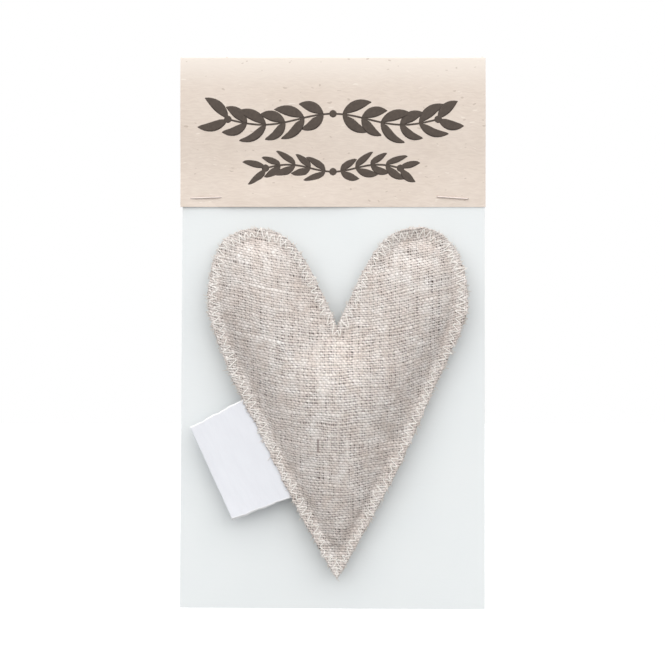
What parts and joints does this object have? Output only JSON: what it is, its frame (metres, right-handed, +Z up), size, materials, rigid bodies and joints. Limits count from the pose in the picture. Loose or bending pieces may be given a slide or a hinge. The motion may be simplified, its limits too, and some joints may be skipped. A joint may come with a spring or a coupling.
{
  "type": "heart-shaped lavender sachet on a display card",
  "caption": "Plump heart of natural linen filled with lavender, zigzag sewn round a raw edge, with a folded ribbon label, held on a pale card under a stapled folded header.",
  "frame": {"origin": "middle of the header's folded top edge, where a hook or clip takes the pack", "axes": "+Z up the card, +X to the right seen from the front, the heart faces -Y"},
  "size_m": [0.1223, 0.0232, 0.2209],
  "materials": {
    "board": "matte",
    "kraft": "matte",
    "steel": "satin",
    "glue": "gloss",
    "linen": "matte",
    "lavender": "matte",
    "thread": "satin",
    "satin": "satin"
  },
  "bodies": {
    "display_card": {"backing_card": "board", "header_card": "kraft", "staple_left": "steel", "staple_right": "steel", "glue_dot_upper": "glue", "glue_dot_lower": "glue"},
    "sachet": {"linen_front": "linen", "linen_back": "linen", "lavender_filling": "lavender", "needle_thread": "thread", "bobbin_thread": "thread", "label_tail": "satin"},
    "label": {"label_loop": "satin"}
  },
  "joints": [
    {"name": "sachet_peel", "type": "slide", "parent": "display_card", "child": "sachet", "axis": [0, -1, 0], "range_m": [0, 0.06]},
    {"name": "label_fold", "type": "hinge", "parent": "sachet", "child": "label", "pos_m": [-0.02746, -0.0077, -0.15662], "axis": [-0.4636, 0, 0.886], "range_deg": [-15, 120]}
  ]
}
